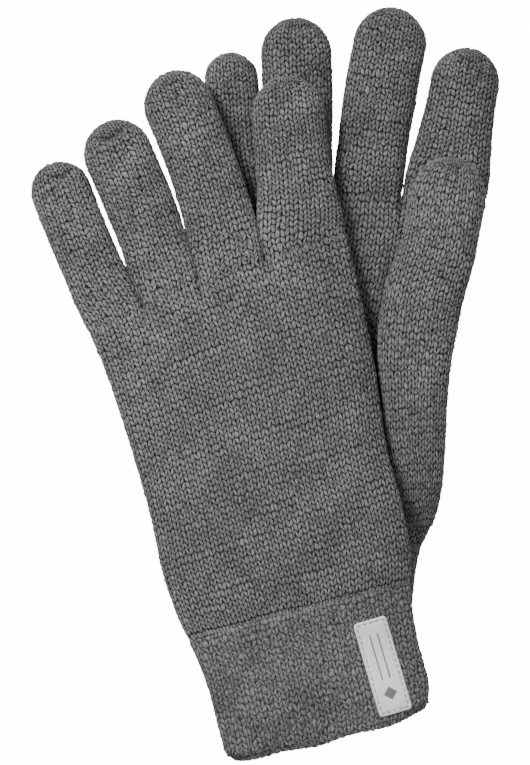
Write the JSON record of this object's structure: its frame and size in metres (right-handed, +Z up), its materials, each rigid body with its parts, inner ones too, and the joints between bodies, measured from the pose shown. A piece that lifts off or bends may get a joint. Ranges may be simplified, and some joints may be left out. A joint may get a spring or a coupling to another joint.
{
  "type": "pair of knitted gloves",
  "caption": "Pair of lined, fine-knit winter gloves with long cuffs, laid flat one on the other, with a woven patch on one cuff.",
  "frame": {"origin": "centre of the bounding box's footprint, on the surface the gloves lie on", "axes": "+Z up, +Y from the cuffs towards the fingertips, +X towards the right glove's thumb"},
  "size_m": [0.1789, 0.2882, 0.0368],
  "materials": {
    "knit": "mid grey melange stockinette, matt and slightly hairy",
    "lining": "dark brushed fleece",
    "label": "pale grey woven ribbon, slight satin",
    "thread": "grey sewing thread"
  },
  "bodies": {
    "right_glove": {"right_hand_shell": "knit", "right_hand_lining": "lining", "right_cuff": "knit", "right_cuff_facing": "knit", "right_little_finger": "knit", "right_little_finger_lining": "lining", "right_ring_finger": "knit", "right_ring_finger_lining": "lining", "right_middle_finger": "knit", "right_middle_finger_lining": "lining", "right_index_finger": "knit", "right_index_finger_lining": "lining", "right_thumb_root": "knit", "right_thumb_root_lining": "lining"},
    "right_little_fingertip_part": {"right_little_fingertip": "knit", "right_little_fingertip_lining": "lining"},
    "right_ring_fingertip_part": {"right_ring_fingertip": "knit", "right_ring_fingertip_lining": "lining"},
    "right_middle_fingertip_part": {"right_middle_fingertip": "knit", "right_middle_fingertip_lining": "lining"},
    "right_index_fingertip_part": {"right_index_fingertip": "knit", "right_index_fingertip_lining": "lining"},
    "right_thumb_part": {"right_thumb": "knit", "right_thumb_lining": "lining"},
    "left_glove": {"left_hand_shell": "knit", "left_hand_lining": "lining", "left_cuff": "knit", "left_cuff_facing": "knit", "left_thumb": "knit", "left_thumb_lining": "lining", "label": "label", "label_stitching": "thread"},
    "left_little_finger_part": {"left_little_finger": "knit", "left_little_finger_lining": "lining"},
    "left_ring_finger_part": {"left_ring_finger": "knit", "left_ring_finger_lining": "lining"},
    "left_middle_finger_part": {"left_middle_finger": "knit", "left_middle_finger_lining": "lining"},
    "left_index_finger_part": {"left_index_finger": "knit", "left_index_finger_lining": "lining"}
  },
  "joints": [
    {"name": "left_glove_lift", "type": "slide", "parent": "right_glove", "child": "left_glove", "axis": [0, 0, 1], "range_m": [0, 0.12]},
    {"name": "left_little_finger_lift", "type": "hinge", "parent": "left_glove", "child": "left_little_finger_part", "pos_m": [-0.05664, 0.02429, 0.02083], "axis": [0.8509, 0.4352, 0.2943], "range_deg": [0, 55]},
    {"name": "left_ring_finger_lift", "type": "hinge", "parent": "left_glove", "child": "left_ring_finger_part", "pos_m": [-0.0358, 0.03466, 0.02792], "axis": [0.8619, 0.4171, 0.2884], "range_deg": [0, 55]},
    {"name": "left_middle_finger_lift", "type": "hinge", "parent": "left_glove", "child": "left_middle_finger_part", "pos_m": [-0.01271, 0.04376, 0.03133], "axis": [0.9529, 0.303, -0.0096], "range_deg": [0, 75]},
    {"name": "left_index_finger_lift", "type": "hinge", "parent": "left_glove", "child": "left_index_finger_part", "pos_m": [0.01529, 0.0525, 0.02975], "axis": [0.952, 0.2928, -0.0893], "range_deg": [0, 75]},
    {"name": "right_little_fingertip_fold", "type": "hinge", "parent": "right_glove", "child": "right_little_fingertip_part", "pos_m": [-0.01227, 0.11074, 0.0138], "axis": [0.9971, 0.0758, 0], "range_deg": [0, 60]},
    {"name": "right_ring_fingertip_fold", "type": "hinge", "parent": "right_glove", "child": "right_ring_fingertip_part", "pos_m": [0.01232, 0.11707, 0.0138], "axis": [0.9994, 0.0338, 0], "range_deg": [0, 75]},
    {"name": "right_middle_fingertip_fold", "type": "hinge", "parent": "right_glove", "child": "right_middle_fingertip_part", "pos_m": [0.04038, 0.08461, 0.0138], "axis": [0.9933, -0.1152, 0], "range_deg": [0, 75]},
    {"name": "right_index_fingertip_fold", "type": "hinge", "parent": "right_glove", "child": "right_index_fingertip_part", "pos_m": [0.07242, 0.09285, 0.0138], "axis": [0.9841, -0.1779, 0], "range_deg": [0, 75]},
    {"name": "right_thumb_lift", "type": "hinge", "parent": "right_glove", "child": "right_thumb_part", "pos_m": [0.0568, -0.0023, 0.0279], "axis": [1, 0, 0], "range_deg": [0, 75]}
  ]
}
